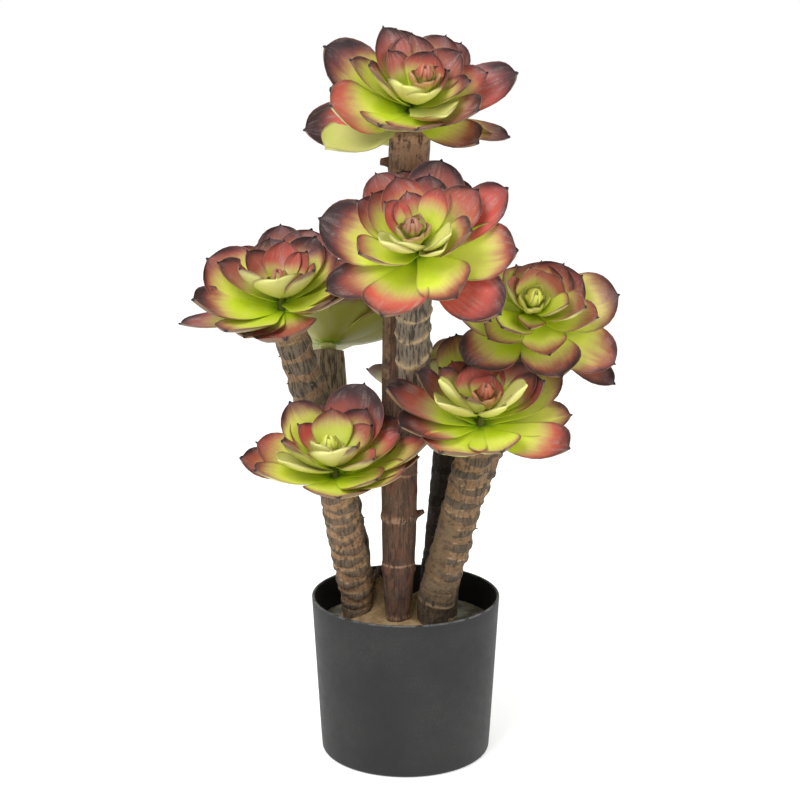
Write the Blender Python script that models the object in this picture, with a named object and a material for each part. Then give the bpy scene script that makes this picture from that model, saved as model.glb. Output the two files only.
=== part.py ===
# A potted faux echeveria: one plain pot, a soil filler with a clay mound, eight trunks and eight leaf heads.
# All lengths are in metres unless a comment says otherwise. Z is up and the front view looks along +Y.
import bpy
import bmesh
import math
from mathutils import Vector

# Pot
pot_height = 0.129
pot_rim_radius = 0.075
pot_foot_radius = 0.0677
pot_wall = 0.0022
pot_floor = 0.0030
pot_sides = 36

# Soil and clay
soil_top = 0.104
mound_centre = (-0.008, 0.012)
mound_radius = 0.046
mound_rise = 0.009
mound_edge = 0.0018
mound_lumps = ((-0.0225, 0.0175, 0.026, 0.0085), (0.0100, 0.0060, 0.015, 0.0080),
               (-0.036, 0.040, 0.010, 0.016))
fit_gap = 0.0003

# Trunks
trunk_foot = 0.045
trunk_sides = 10
collar_rise = 0.0012
collar_step = 0.0016

# Leaves
leaf_thickness = 0.0022
leaf_tip_point = 0.0025
leaf_widest = 0.66
leaf_root_share = 0.18
core_radius = 0.0118
core_neck = 0.0085
core_height = 0.0230


# A trunk runs through its points, each with x, y, z and radius, and ends under its head.
# Its raised collars are spread between two shares of its length.
trunks = {
    "trunk_tall": {
        "head": "head_top", "top_radius": 0.0150, "collars": 6, "first": 0.245, "last": 0.93,
        "points": [(-0.0065, -0.0090, 0.045, 0.0088), (-0.0065, -0.0090, 0.106, 0.0092),
                   (-0.0060, -0.0085, 0.138, 0.0122), (-0.0050, -0.0070, 0.2095, 0.0132),
                   (-0.0040, -0.0010, 0.335, 0.0134), (0.0015, 0.0, 0.460, 0.0146)]},
    "trunk_low_left": {
        "head": "head_low_left", "top_radius": 0.0130, "collars": 12, "first": 0.385, "last": 0.975,
        "points": [(-0.0383, 0.0110, 0.045, 0.0105), (-0.0383, 0.0110, 0.106, 0.0108),
                   (-0.0403, 0.0040, 0.138, 0.0134), (-0.0473, -0.0110, 0.180, 0.0134)]},
    "trunk_left": {
        "head": "head_left", "top_radius": 0.0132, "collars": 10, "first": 0.5, "last": 0.98,
        "points": [(-0.0375, 0.0400, 0.045, 0.0115), (-0.0375, 0.0400, 0.106, 0.0118),
                   (-0.0515, 0.0270, 0.205, 0.0130), (-0.0745, 0.0120, 0.287, 0.0132)]},
    "trunk_low_right": {
        "head": "head_low_right", "top_radius": 0.0130, "collars": 13, "first": 0.34, "last": 0.98,
        "points": [(0.0215, -0.0080, 0.045, 0.0100), (0.0215, -0.0080, 0.106, 0.0104),
                   (0.0265, -0.0140, 0.140, 0.0140), (0.0415, -0.0250, 0.201, 0.0144)]},
    "trunk_right": {
        "head": "head_right", "top_radius": 0.0128, "collars": 12, "first": 0.38, "last": 0.98,
        "points": [(0.0340, 0.0190, 0.045, 0.0108), (0.0340, 0.0190, 0.106, 0.0110),
                   (0.0375, 0.0200, 0.160, 0.0124), (0.0640, 0.0200, 0.245, 0.0134),
                   (0.0850, 0.0150, 0.315, 0.0130)]},
    "trunk_rear_right": {
        "head": "head_rear_right", "top_radius": 0.0125, "collars": 6, "first": 0.45, "last": 0.97,
        "points": [(0.0225, 0.0450, 0.045, 0.0108), (0.0225, 0.0450, 0.106, 0.0110),
                   (0.0280, 0.0460, 0.160, 0.0120), (0.0340, 0.0540, 0.215, 0.0126)]},
}

# A side branch starts against its trunk with a saddle cut end and carries its own head.
branches = {
    "branch_middle": {
        "head": "head_middle", "trunk": "trunk_tall", "top_radius": 0.0128,
        "collars": 4, "first": 0.32, "last": 0.97,
        "points": [(0.0070, -0.0130, 0.272, 0.0090), (0.0075, -0.0205, 0.300, 0.0122),
                   (0.0060, -0.0300, 0.335, 0.0128), (0.0060, -0.0420, 0.372, 0.0128)]},
    "branch_rear_left": {
        "head": "head_rear_left", "trunk": "trunk_left", "top_radius": 0.0128,
        "collars": 5, "first": 0.3, "last": 0.96,
        "points": [(-0.0500, 0.0370, 0.192, 0.0095), (-0.0540, 0.0450, 0.222, 0.0125),
                   (-0.0590, 0.0510, 0.275, 0.0128)]},
}

# A head sits on a trunk end. Its axis leans toward the viewer by face and to the right by side, in degrees.
# A leaf is direction, opening, length, width, and where it differs from its whorl's, roll.
# Direction 0 points right, 90 away and 270 to the viewer. Opening 0 runs along the axis and 90 square to it.
# Leaf lengths and widths are in millimetres.
heads = {
    "head_top": {
        "seat": (0.0040, 0.0, 0.512), "face": 33, "side": 6,
        "outer": [(162, 65, 82, 46, -0.3), (204, 74, 72, 48, -0.25), (190, 102, 82, 40, -0.3),
                  (211, 100, 74, 56, 0.3), (245, 66, 70, 48), (270, 62, 72, 44), (318, 58, 72, 42, 0.2),
                  (351, 96, 76, 38, -0.3), (11, 69, 85, 44, 0.15), (316, 80, 68, 38), (128, 84, 60, 42),
                  (90, 86, 60, 42), (50, 86, 62, 40)],
        "middle": [(130, 43, 63, 36), (106, 64, 64, 42), (66, 64, 64, 40), (56, 72, 68, 40, 0.0),
                   (14, 66, 62, 32), (346, 50, 54, 28), (172, 58, 60, 32), (190, 44, 54, 34),
                   (298, 62, 56, 38)],
        "inner": [(96, 54, 52, 38), (36, 56, 52, 36), (245, 42, 44, 32), (286, 46, 42, 32),
                  (140, 44, 42, 28), (62, 42, 40, 32), (18, 48, 36, 26)]},
    "head_middle": {
        "seat": (0.011, -0.060, 0.412), "face": 40, "side": -4,
        "outer": [(26, 66, 81, 40, 0.0), (347, 75, 76, 46, 0.3), (313, 89, 84, 44, 0.2), (311, 98, 76, 32),
                  (248, 78, 76, 48), (202, 92, 75, 42), (166, 72, 80, 46, -0.4), (119, 66, 72, 42),
                  (100, 76, 72, 44), (76, 73, 78, 44, 0.3), (66, 88, 78, 38)],
        "middle": [(36, 64, 62, 38), (296, 80, 62, 42, 0.2), (214, 58, 62, 42), (150, 62, 60, 34),
                   (136, 60, 56, 38), (111, 54, 58, 36), (80, 62, 58, 38), (338, 48, 58, 36)],
        "inner": [(223, 47, 50, 30), (236, 41, 43, 30), (105, 46, 42, 28), (145, 44, 44, 26),
                  (55, 42, 48, 24), (305, 52, 42, 26), (325, 44, 44, 28)]},
    "head_left": {
        "seat": (-0.095, 0.0, 0.361), "face": 20, "side": -5,
        "outer": [(191, 89, 80, 36, 0.2), (200, 70, 74, 44, -0.1), (162, 58, 70, 44, -0.6), (90, 58, 73, 40),
                  (66, 60, 71, 46), (345, 60, 74, 38), (330, 66, 74, 40), (276, 80, 72, 50),
                  (238, 75, 74, 44), (242, 84, 56, 42), (125, 80, 70, 44), (35, 80, 68, 42)],
        "middle": [(168, 56, 58, 40), (100, 60, 58, 38), (22, 58, 60, 38), (318, 72, 62, 38),
                   (130, 62, 60, 36), (50, 54, 58, 38)],
        "inner": [(215, 42, 50, 34), (274, 44, 46, 40), (327, 50, 48, 34), (145, 42, 44, 32),
                  (80, 42, 44, 30), (35, 46, 40, 26)]},
    "head_low_left": {
        "seat": (-0.054, -0.040, 0.2375), "face": 16, "side": -3,
        "outer": [(178, 77, 74, 38, -0.1), (172, 65, 66, 40, -0.25), (209, 68, 72, 36, 0.0),
                  (140, 40, 67, 43, -0.1), (56, 38, 75, 54, 0.0), (25, 60, 66, 42), (348, 72, 70, 42),
                  (326, 72, 68, 40), (275, 76, 56, 52, -0.1), (100, 74, 48, 38), (351, 66, 84, 38, 0.0),
                  (310, 70, 56, 36)],
        "middle": [(134, 52, 54, 38), (83, 54, 60, 42), (42, 44, 53, 36), (0, 62, 60, 36), (212, 62, 54, 38),
                   (200, 50, 54, 30)],
        "inner": [(150, 50, 42, 28), (92, 38, 44, 32), (20, 52, 42, 28), (270, 46, 40, 38),
                  (315, 48, 38, 26), (226, 36, 34, 26), (318, 66, 48, 30)]},
    "head_low_right": {
        "seat": (0.056, -0.045, 0.280), "face": 24, "side": 0,
        "outer": [(180, 66, 80, 44), (207, 72, 72, 46), (104, 66, 79, 44, 0.2), (243, 74, 72, 50, 0.0),
                  (285, 74, 60, 40), (326, 82, 79, 44), (358, 82, 70, 38), (22, 68, 74, 40),
                  (172, 48, 66, 36), (78, 66, 60, 40), (48, 78, 68, 42)],
        "middle": [(120, 58, 50, 34), (28, 56, 58, 38), (8, 60, 58, 34), (85, 52, 49, 36),
                   (150, 48, 50, 28)],
        "inner": [(199, 42, 52, 28), (218, 54, 54, 34), (334, 45, 54, 30), (306, 50, 42, 30),
                  (228, 36, 30, 24), (105, 46, 38, 32), (60, 42, 31, 28)]},
    "head_right": {
        "seat": (0.095, -0.005, 0.355), "face": 47, "side": 10,
        "outer": [(224, 92, 68, 46, 0.2), (289, 78, 64, 46), (323, 94, 83, 24), (327, 83, 76, 46),
                  (9, 68, 71, 48, 0.2), (60, 80, 48, 42), (104, 82, 44, 40), (145, 76, 50, 40),
                  (190, 80, 60, 42)],
        "middle": [(222, 76, 52, 34), (282, 72, 49, 36), (32, 58, 49, 42), (56, 54, 46, 38),
                   (84, 54, 41, 40), (334, 54, 60, 32), (228, 58, 54, 34), (140, 54, 42, 32)],
        "inner": [(256, 60, 34, 22), (322, 34, 44, 26), (330, 44, 54, 32), (110, 38, 36, 32),
                  (40, 40, 36, 32), (176, 42, 42, 26)]},
    "head_rear_left": {
        "seat": (-0.062, 0.056, 0.322), "face": -34, "side": 6,
        "outer": [(336, 72, 70, 44), (298, 70, 62, 40), (2, 72, 72, 42), (262, 70, 58, 40),
                  (228, 72, 64, 42), (192, 74, 68, 42), (155, 74, 70, 42), (118, 74, 70, 42),
                  (82, 70, 70, 44, -0.3), (38, 66, 68, 42)],
        "middle": [(345, 52, 56, 36), (292, 50, 54, 36), (240, 50, 54, 36), (185, 52, 54, 36),
                   (130, 52, 54, 36), (70, 52, 54, 36), (20, 52, 54, 36)],
        "inner": [(310, 36, 40, 28), (220, 34, 40, 28), (130, 36, 40, 28), (40, 34, 40, 28)]},
    "head_rear_right": {
        "seat": (0.040, 0.076, 0.272), "face": -24, "side": 6,
        "outer": [(181, 79, 75, 42, 0.2), (215, 74, 60, 40), (250, 68, 54, 40), (288, 68, 54, 40),
                  (325, 74, 62, 40), (2, 76, 66, 42), (42, 76, 66, 42), (85, 76, 66, 42), (130, 76, 66, 42)],
        "middle": [(200, 52, 52, 34), (256, 48, 52, 34), (310, 50, 50, 34), (10, 52, 52, 34),
                   (75, 52, 52, 34), (140, 52, 52, 34)],
        "inner": [(300, 34, 38, 26), (210, 34, 38, 26), (120, 34, 38, 26), (30, 34, 38, 26)]},
}
# Each whorl has its height on the head's core, its cup across the blade, its roll about the blade's line and
# its bend along it in degrees, the corners around a blade and where its rings lie as shares of its length.
whorls = {
    "outer": {"rise": 0.000, "cup": 0.20, "roll": 0.10, "bend": -12, "around": 5,
              "rings": (0.0, 0.30, 0.62, 0.88, 1.0)},
    "middle": {"rise": 0.006, "cup": 0.32, "roll": 0.10, "bend": -16, "around": 5,
               "rings": (0.0, 0.62, 0.88, 1.0)},
    "inner": {"rise": 0.011, "cup": 0.44, "roll": 0.08, "bend": -18, "around": 4,
              "rings": (0.0, 0.60, 0.88, 1.0)},
    "heart": {"rise": 0.016, "cup": 0.50, "roll": 0.0, "bend": -14, "around": 4,
              "rings": (0.0, 0.60, 1.0)},
}
heart_leaves = [(38, 15, 21, 15), (131, 19, 20, 15), (222, 14, 21, 14), (309, 18, 20, 16)]


def clear_scene():
    for item in list(bpy.data.objects):
        bpy.data.objects.remove(item, do_unlink=True)


def make_material(name, colour, roughness):
    material = bpy.data.materials.new(name)
    material.use_nodes = True
    shader = material.node_tree.nodes["Principled BSDF"]
    shader.inputs["Base Color"].default_value = (colour[0], colour[1], colour[2], 1.0)
    shader.inputs["Roughness"].default_value = roughness
    shader.inputs["Metallic"].default_value = 0.0
    material.diffuse_color = (colour[0], colour[1], colour[2], 1.0)
    return material


def new_object(name, shape, material, collection=None):
    shape.normal_update()
    bmesh.ops.recalc_face_normals(shape, faces=shape.faces[:])
    mesh = bpy.data.meshes.new(name)
    shape.to_mesh(mesh)
    shape.free()
    mesh.materials.append(material)
    item = bpy.data.objects.new(name, mesh)
    target = collection or bpy.context.scene.collection
    target.objects.link(item)
    return item


def add_ring(shape, centre, across, away, radius, sides):
    ring = []
    for i in range(sides):
        turn = 2 * math.pi * i / sides
        ring.append(shape.verts.new(centre + radius * (across * math.cos(turn) + away * math.sin(turn))))
    return ring


def skin_rings(shape, rings):
    # Side faces between neighbouring rings and a flat cap at both ends.
    for lower, upper in zip(rings, rings[1:]):
        sides = len(lower)
        for i in range(sides):
            j = (i + 1) % sides
            shape.faces.new((lower[i], lower[j], upper[j], upper[i]))
    shape.faces.new(list(reversed(rings[0])))
    shape.faces.new(rings[-1])


def turned_body(name, profile, sides, material):
    # The profile lists radius and height from one cap over the outside to the other cap.
    shape = bmesh.new()
    rings = []
    for radius, height in profile:
        rings.append(add_ring(shape, Vector((0, 0, height)), Vector((1, 0, 0)), Vector((0, 1, 0)), radius,
                              sides))
    skin_rings(shape, rings)
    return new_object(name, shape, material)


def apply_modifiers(item):
    depsgraph = bpy.context.evaluated_depsgraph_get()
    finished = bpy.data.meshes.new_from_object(item.evaluated_get(depsgraph))
    item.modifiers.clear()
    item.data = finished
    finished.name = item.name


def keep_main_body(item):
    # Scrap and sealed hollows are loose shells, so only the largest shell stays.
    shape = bmesh.new()
    shape.from_mesh(item.data)
    bmesh.ops.triangulate(shape, faces=shape.faces[:])
    seen = set()
    shells = []
    for start in shape.faces:
        if start in seen:
            continue
        shell = [start]
        seen.add(start)
        for face in shell:
            for edge in face.edges:
                for other in edge.link_faces:
                    if other not in seen:
                        seen.add(other)
                        shell.append(other)
        shells.append(shell)
    shells.sort(key=len)
    for shell in shells[:-1]:
        bmesh.ops.delete(shape, geom=shell, context="FACES")
    shape.to_mesh(item.data)
    shape.free()


def cut_away(item, cutters):
    for cutter in cutters:
        cutter.hide_render = True
        cutter.display_type = "WIRE"
        cut = item.modifiers.new("cut " + cutter.name, "BOOLEAN")
        cut.operation = "DIFFERENCE"
        cut.solver = "EXACT"
        cut.object = cutter
    apply_modifiers(item)
    for cutter in cutters:
        bpy.data.objects.remove(cutter, do_unlink=True)
    keep_main_body(item)


def head_axes(data):
    face, side = math.radians(data["face"]), math.radians(data["side"])
    axis = Vector((math.sin(side), -math.sin(face) * math.cos(side), math.cos(face) * math.cos(side)))
    right = (Vector((1, 0, 0)) - axis * axis.x).normalized()
    return right, axis.cross(right), axis


def trunk_end(data):
    # The trunk's flat end lies under its head, leaning half way from the trunk's course to the head's axis.
    seat = Vector(heads[data["head"]]["seat"])
    axis = head_axes(heads[data["head"]])[2]
    course = (seat - Vector(data["points"][-1][:3])).normalized()
    lean = (course + axis).normalized()
    return seat - lean * core_neck, lean


def smooth_course(knots, steps):
    # A smooth curve through the knots, with the radius carried as the fourth number.
    knots = [knots[0] * 2 - knots[1]] + knots + [knots[-1] * 2 - knots[-2]]
    course = []
    for i in range(1, len(knots) - 2):
        a, b, c, d = knots[i - 1:i + 3]
        for k in range(steps):
            t = k / steps
            course.append(0.5 * ((b * 2) + (c - a) * t + (a * 2 - b * 5 + c * 4 - d) * t * t
                                 + (b * 3 - a - c * 3 + d) * t * t * t))
    course.append(knots[-2])
    return course


def place_at(course, share):
    # The point at a share of the course's length and the direction there.
    lengths = [0.0]
    for a, b in zip(course, course[1:]):
        lengths.append(lengths[-1] + (b.xyz - a.xyz).length)
    goal = share * lengths[-1]
    index = 0
    while index < len(course) - 2 and lengths[index + 1] < goal:
        index += 1
    t = (goal - lengths[index]) / (lengths[index + 1] - lengths[index])
    direction = (course[index + 1].xyz - course[index].xyz).normalized()
    return course[index].lerp(course[index + 1], t), direction, lengths[-1]


def trunk_body(name, data, material, extra=0.0):
    # With extra, the same course gives the plain cutter for a hole or a saddle.
    end, lean = trunk_end(data)
    knots = [Vector(point) for point in data["points"]]
    knots.append(Vector((end.x, end.y, end.z, data["top_radius"])))
    course = smooth_course(knots, 5)
    length = place_at(course, 1.0)[2]
    rows = [(0.0, 0.0), (1.0, 0.0)]
    collars, first, last = data["collars"], data["first"], data["last"]
    if data["points"][0][2] == trunk_foot:
        rows.append(((soil_top + 0.002 - trunk_foot) / length, 0.0))
    for i in range(collars):
        share = first + (last - first) * i / (collars - 1)
        rows.append((share, collar_rise))
        rows.append((share + collar_step / length, 0.0))
    if extra > 0.0:
        rows = [(share, 0.0) for share, rise in rows]
    shape = bmesh.new()
    rings = []
    for share, rise in sorted(rows):
        place, direction, _ = place_at(course, share)
        if share == 1.0:
            direction = lean
        across = (Vector((1, 0, 0)) - direction * direction.x).normalized()
        rings.append(add_ring(shape, place.xyz, across, direction.cross(across), place[3] + rise + extra,
                              trunk_sides))
    skin_rings(shape, rings)
    return new_object(name, shape, material)


def half_width(share, width):
    if share < leaf_widest:
        t = share / leaf_widest
        return 0.5 * width * (leaf_root_share + (1 - leaf_root_share) * t * t * (3 - 2 * t))
    t = (share - leaf_widest) / (1 - leaf_widest)
    return 0.5 * width * math.sqrt(max(0.0, 1 - t ** 2.3))


def leaf_body(name, seat, axes, leaf, whorl, collection, material):
    # A ball is drawn out into a cupped, spoon-shaped blade along an arc that starts inside the core.
    right, away, axis = axes
    direction, opening = leaf[:2]
    length = leaf[2] / 1000
    width = leaf[3] / 1000
    roll = leaf[4] if len(leaf) > 4 else whorl["roll"]
    turn = math.radians(direction)
    reach = right * math.cos(turn) + away * math.sin(turn)
    across = axis.cross(reach)
    start = math.radians(opening - whorl["bend"])
    swing = math.radians(2 * whorl["bend"])
    shape = bmesh.new()
    levels = len(whorl["rings"]) - 1
    bmesh.ops.create_uvsphere(shape, u_segments=whorl["around"], v_segments=levels, radius=1.0)
    for vertex in shape.verts:
        share = whorl["rings"][round(math.acos(max(-1.0, min(1.0, vertex.co.z))) / math.pi * levels)]
        flat = math.hypot(vertex.co.x, vertex.co.y)
        lateral = vertex.co.y / flat if flat > 0.001 else 0.0
        upper = vertex.co.x / flat if flat > 0.001 else 0.0
        half = half_width(share, width) if flat > 0.001 else 0.0
        bend = start + swing * share
        spine = length / swing * ((math.cos(start) - math.cos(bend)) * reach
                                  + (math.sin(bend) - math.sin(start)) * axis)
        facing = math.sin(bend) * axis - math.cos(bend) * reach
        if share == 1.0:
            spine = spine + leaf_tip_point * (math.sin(bend) * reach + math.cos(bend) * axis)
        lift = half * (whorl["cup"] * lateral * lateral + roll * lateral) + 0.5 * leaf_thickness * upper
        vertex.co = seat + axis * whorl["rise"] + spine + across * (half * lateral) + facing * lift
    return new_object(name, shape, material, collection)


def core_body(name, data, end, lean, radius, axes, material):
    # The short stub that the leaf roots sit in, with its flat foot just above the trunk's end.
    right, away, axis = axes
    seat = Vector(data["seat"])
    across = (Vector((1, 0, 0)) - lean * lean.x).normalized()
    shape = bmesh.new()
    rings = [add_ring(shape, end + lean * fit_gap, across, lean.cross(across), radius, trunk_sides)]
    for ring_radius, height in ((core_radius, 0.0), (core_radius * 0.9, 0.007),
                                (core_radius * 0.55, core_height * 0.8), (core_radius * 0.2, core_height)):
        rings.append(add_ring(shape, seat + axis * height, right, away, ring_radius, trunk_sides))
    skin_rings(shape, rings)
    return new_object(name, shape, material)


def build_head(carrier, material):
    name = carrier["head"]
    data = heads[name]
    seat = Vector(data["seat"])
    axes = head_axes(data)
    blades = bpy.data.collections.new(name + "_blades")
    bpy.context.scene.collection.children.link(blades)
    for kind, whorl in whorls.items():
        leaves = heart_leaves if kind == "heart" else data[kind]
        for number, leaf in enumerate(leaves):
            leaf_body(name + "_" + kind + str(number), seat, axes, leaf, whorl, blades, material)
    end, lean = trunk_end(carrier)
    body = core_body(name, data, end, lean, carrier["top_radius"] * 0.86, axes, material)
    union = body.modifiers.new("joined leaves", "BOOLEAN")
    union.operation = "UNION"
    union.operand_type = "COLLECTION"
    union.collection = blades
    union.solver = "MANIFOLD"
    apply_modifiers(body)
    for blade in list(blades.objects):
        bpy.data.objects.remove(blade, do_unlink=True)
    bpy.data.collections.remove(blades)
    keep_main_body(body)
    return body


def wall_radius(height):
    return pot_foot_radius + (pot_rim_radius - pot_foot_radius) * height / pot_height


def build_pot(material):
    inner = pot_wall + 0.0001
    profile = [(pot_foot_radius - 0.0030, 0.0), (pot_foot_radius - 0.0008, 0.0009),
               (wall_radius(0.0032), 0.0032),
               (wall_radius(pot_height - 0.0008), pot_height - 0.0008), (pot_rim_radius - 0.0007, pot_height),
               (pot_rim_radius - pot_wall + 0.0006, pot_height),
               (wall_radius(pot_height - 0.0008) - pot_wall, pot_height - 0.0008),
               (wall_radius(pot_floor) - inner, pot_floor)]
    return turned_body("pot", profile, pot_sides, material)


def build_soil(material, cutters):
    foot = pot_floor + fit_gap
    gap = pot_wall + 0.0001 + fit_gap
    profile = [(wall_radius(foot) - gap, foot), (wall_radius(soil_top) - gap, soil_top)]
    soil = turned_body("soil", profile, pot_sides, material)
    cut_away(soil, cutters)
    return soil


def mound_height(x, y, share):
    # A low dome with a few raised lumps between the trunk feet.
    height = mound_edge + mound_rise * (1 - share * share)
    for lump_x, lump_y, rise, spread in mound_lumps:
        away = ((x - lump_x) ** 2 + (y - lump_y) ** 2) / (spread * spread)
        height += rise * math.exp(-away) * (1 - share ** 6)
    return height


def build_mound(material, cutters):
    shape = bmesh.new()
    sides = 12
    rings = []
    base = soil_top + fit_gap
    for share, on_top in ((1.0, False), (1.0, True), (0.78, True), (0.54, True), (0.30, True)):
        ring = []
        for i in range(sides):
            turn = 2 * math.pi * i / sides
            wobble = 1 + 0.05 * math.sin(3 * turn + 0.6) + 0.035 * math.sin(5 * turn + 2.0)
            reach = mound_radius * share * wobble
            x = mound_centre[0] + reach * math.cos(turn)
            y = mound_centre[1] + reach * math.sin(turn)
            ring.append(shape.verts.new((x, y, base + mound_height(x, y, share) if on_top else base)))
        rings.append(ring)
    skin_rings(shape, rings)
    bmesh.ops.triangulate(shape, faces=shape.faces[:])
    mound = new_object("clay_mound", shape, material)
    cut_away(mound, cutters)
    return mound


def build_all():
    clear_scene()
    plastic = make_material("pot plastic", (0.045, 0.045, 0.048), 0.55)
    earth = make_material("soil", (0.13, 0.125, 0.085), 0.95)
    clay = make_material("clay", (0.33, 0.22, 0.11), 0.9)
    bark = make_material("bark", (0.15, 0.10, 0.065), 0.85)
    leaf = make_material("leaf", (0.42, 0.46, 0.08), 0.5)
    build_pot(plastic)
    carriers = dict(trunks)
    carriers.update(branches)
    build_soil(earth, [trunk_body("hole " + name, data, earth, fit_gap) for name, data in trunks.items()])
    build_mound(clay, [trunk_body("opening " + name, data, clay, collar_rise + fit_gap)
                       for name, data in trunks.items()])
    for name, data in trunks.items():
        trunk_body(name, data, bark)
    for name, data in branches.items():
        branch = trunk_body(name, data, bark)
        cut_away(branch, [trunk_body("saddle " + name, trunks[data["trunk"]], bark, collar_rise + fit_gap)])
    for data in carriers.values():
        build_head(data, leaf)
    for item in bpy.data.objects:
        bpy.context.view_layer.objects.active = item
        item.select_set(True)
        bpy.ops.object.shade_smooth()
        item.data.set_sharp_from_angle(angle=math.radians(30))
        item.select_set(False)


build_all()
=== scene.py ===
import bpy
import bmesh
import math
import random
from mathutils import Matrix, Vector, noise


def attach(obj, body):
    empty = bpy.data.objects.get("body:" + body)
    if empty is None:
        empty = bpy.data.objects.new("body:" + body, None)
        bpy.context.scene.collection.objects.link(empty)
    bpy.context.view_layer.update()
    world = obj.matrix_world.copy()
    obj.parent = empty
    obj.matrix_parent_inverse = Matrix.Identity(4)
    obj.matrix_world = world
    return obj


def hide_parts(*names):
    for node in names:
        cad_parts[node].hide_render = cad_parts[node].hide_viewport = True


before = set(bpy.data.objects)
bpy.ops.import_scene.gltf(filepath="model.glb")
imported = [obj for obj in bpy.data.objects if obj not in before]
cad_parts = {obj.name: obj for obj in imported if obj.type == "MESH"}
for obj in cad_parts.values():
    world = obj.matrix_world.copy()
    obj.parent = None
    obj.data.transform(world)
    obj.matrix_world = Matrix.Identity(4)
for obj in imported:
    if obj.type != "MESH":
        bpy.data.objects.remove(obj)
scene = bpy.context.scene
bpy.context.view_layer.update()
print("frame loaded:", len(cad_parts), "nodes")


# Small tools.
def smooth(low, high, value):
    t = min(1.0, max(0.0, (value - low) / (high - low)))
    return t * t * (3 - 2 * t)


def named(titles, rows):
    # rows under one list of titles
    return {name: dict(zip(titles, row)) for name, row in rows.items()}


def addObject(name, data):
    item = bpy.data.objects.new(name, data)
    scene.collection.objects.link(item)
    return item


def faceOut(shape):
    shape.normal_update()
    bmesh.ops.recalc_face_normals(shape, faces=shape.faces[:])


def keepMesh(name, shape):
    mesh = bpy.data.meshes.new(name)
    shape.to_mesh(mesh)
    shape.free()
    return mesh


def addPiece(name, shape, material, node):
    # a finished mesh that stands for one CAD node
    mesh = keepMesh(name, shape)
    mesh.materials.append(material)
    mesh.shade_smooth()
    piece = addObject(name, mesh)
    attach(piece, "root")
    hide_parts(node)


def feed(socket, value):
    # a socket takes a number, a colour or another socket
    if isinstance(value, bpy.types.NodeSocket):
        socket.id_data.links.new(value, socket)
    elif isinstance(value, tuple) and socket.type == "RGBA":
        socket.default_value = (*value, 1.0)
    else:
        socket.default_value = value


def put(tree, kind, inputs=None, **settings):
    # one node, with its settings and what goes into its sockets
    node = tree.nodes.new("ShaderNode" + kind)
    for key, value in settings.items():
        setattr(node, key, value)
    for key, value in (inputs or {}).items():
        feed(node.inputs[key], value)
    return node


def mathNode(operation, first, second=0.5, clamp=False):
    tree = (first if isinstance(first, bpy.types.NodeSocket) else second).id_data
    return put(tree, "Math", {0: first, 1: second}, operation=operation, use_clamp=clamp).outputs[0]


def times(first, second, clamp=False):
    return mathNode("MULTIPLY", first, second, clamp)


def plus(first, second):
    return mathNode("ADD", first, second)


def minus(first, second):
    return mathNode("SUBTRACT", first, second)


def fade(value, low, high, top=1.0):
    # smooth step from 0 at low to top at high
    inputs = {"Value": value, "From Min": low, "From Max": high, "To Max": top}
    return put(value.id_data, "MapRange", inputs, interpolation_type="SMOOTHSTEP").outputs["Result"]


def blend(share, first, second):
    # from the first colour to the second as share goes from 0 to 1
    return put(share.id_data, "Mix", {0: share, 6: first, 7: second}, data_type="RGBA").outputs[2]


def noiseAt(vector, scale, detail=3.0, roughness=0.55):
    inputs = {"Vector": vector, "Scale": scale, "Detail": detail, "Roughness": roughness}
    return put(vector.id_data, "TexNoise", inputs).outputs["Fac"]


def objectPlace(tree):
    return put(tree, "TexCoord").outputs["Object"]


def markOf(tree, title, kind="Fac"):
    # a value that the mesh carries at each point
    return put(tree, "Attribute", attribute_name=title).outputs[kind]


def startMaterial(name, roughness, specular):
    material = bpy.data.materials.new(name)
    material.use_nodes = True
    shader = material.node_tree.nodes["Principled BSDF"]
    feed(shader.inputs["Roughness"], roughness)
    feed(shader.inputs["Specular IOR Level"], specular)
    return material, material.node_tree, shader


def addBump(shader, height, strength, distance):
    bump = put(shader.id_data, "Bump", {"Height": height, "Strength": strength, "Distance": distance})
    feed(shader.inputs["Normal"], bump.outputs["Normal"])


# Camera.
cameraSet = {"place": (-0.0045, -1.512, 0.6593), "tilt": 76.223, "lens": 89.62, "sensor": 36.0}

camera = addObject("shotCamera", bpy.data.cameras.new("shotCamera"))
camera.location = cameraSet["place"]
camera.rotation_euler = (math.radians(cameraSet["tilt"]), 0, 0)
camera.data.sensor_fit = "HORIZONTAL"
camera.data.sensor_width = cameraSet["sensor"]
camera.data.lens = cameraSet["lens"]
camera.data.clip_end = 50
scene.camera = camera


# Shared shader groups.
def newGroup(name, inputs, outputs):
    # an input without a value is a vector
    group = bpy.data.node_groups.new(name, "ShaderNodeTree")
    for title, value in inputs.items():
        kind = "NodeSocketVector" if value is None else "NodeSocketFloat"
        socket = group.interface.new_socket(name=title, in_out="INPUT", socket_type=kind)
        if value is not None:
            socket.default_value = value
    for title in outputs:
        group.interface.new_socket(name=title, in_out="OUTPUT", socket_type="NodeSocketFloat")
    return group, group.nodes.new("NodeGroupInput").outputs, group.nodes.new("NodeGroupOutput").inputs


def makeDust():
    # pale dust in soft patches with fine specks
    inputs = {"Vector": None, "Patch Scale": 20.0, "Speck Scale": 900.0, "Amount": 0.3}
    group, start, end = newGroup("dust", inputs, ["Mask"])
    broad = fade(noiseAt(start["Vector"], start["Patch Scale"], 4.0, 0.6), 0.42, 0.72)
    fine = fade(noiseAt(start["Vector"], start["Speck Scale"], 2.0, 0.7), 0.45, 0.7)
    feed(end["Mask"], times(times(broad, plus(times(fine, 0.7), 0.3)), start["Amount"], True))
    return group


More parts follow.
